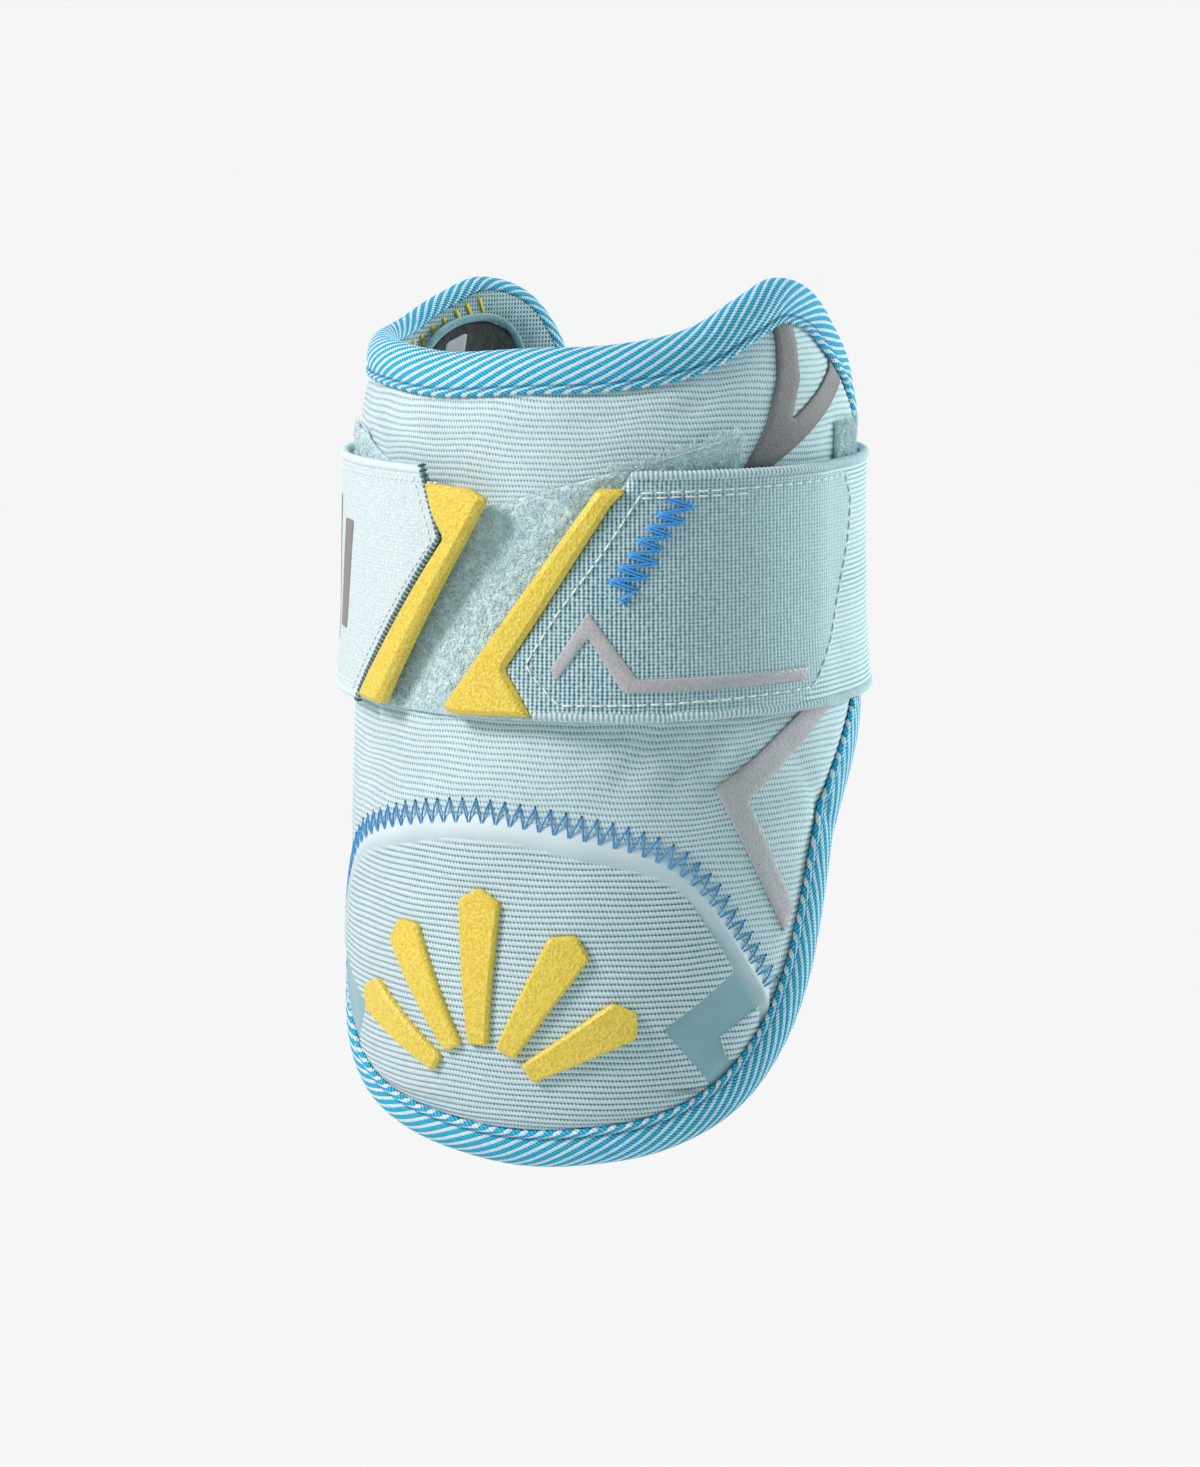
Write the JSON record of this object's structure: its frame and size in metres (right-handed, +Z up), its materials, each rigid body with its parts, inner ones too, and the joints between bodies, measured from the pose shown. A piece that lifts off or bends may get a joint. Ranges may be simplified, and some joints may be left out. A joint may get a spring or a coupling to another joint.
{
  "type": "baseball elbow guard",
  "caption": "Padded batter's elbow guard that wraps the arm, with a hard front shield below a wide elastic strap closed by two moulded pull tabs.",
  "frame": {"origin": "on the arm's axis, at the middle of the strap's width", "axes": "+Z up the arm, -Y out of the guard's front, +X to the side with the taller top edge"},
  "size_m": [0.1197, 0.1228, 0.1918],
  "materials": {
    "cover": "fine ribbed knit",
    "lining": "smooth knit",
    "tape": "diagonally striped binding tape",
    "film": "smooth bonded film",
    "fleece": "brushed loop fabric",
    "webbing": "woven elastic",
    "hook": "hook tape",
    "moulded": "grained matte",
    "silver_trim": "grained satin",
    "grey_trim": "grained satin",
    "insert": "brushed",
    "piping": "smooth cord"
  },
  "bodies": {
    "root": {"padded_wall": "cover", "lining": "lining", "binding_tape": "tape", "shield_film": "film", "shield_panel": "cover", "corner_panel_left": "cover", "corner_panel_right": "cover", "badge_ray_1": "moulded", "badge_ray_2": "moulded", "badge_ray_3": "moulded", "badge_ray_4": "moulded", "badge_ray_5": "moulded", "loop_patch_front": "fleece", "loop_patch_left": "fleece", "loop_patch_right": "fleece", "strap": "webbing", "hook_pad_left": "hook", "hook_pad_right": "hook", "tab_left": "moulded", "tab_right": "moulded", "strap_stripe": "silver_trim", "chevron_stripe": "silver_trim", "shoulder_stripe": "grey_trim", "inner_pad": "insert", "inner_piping": "piping"}
  },
  "joints": []
}
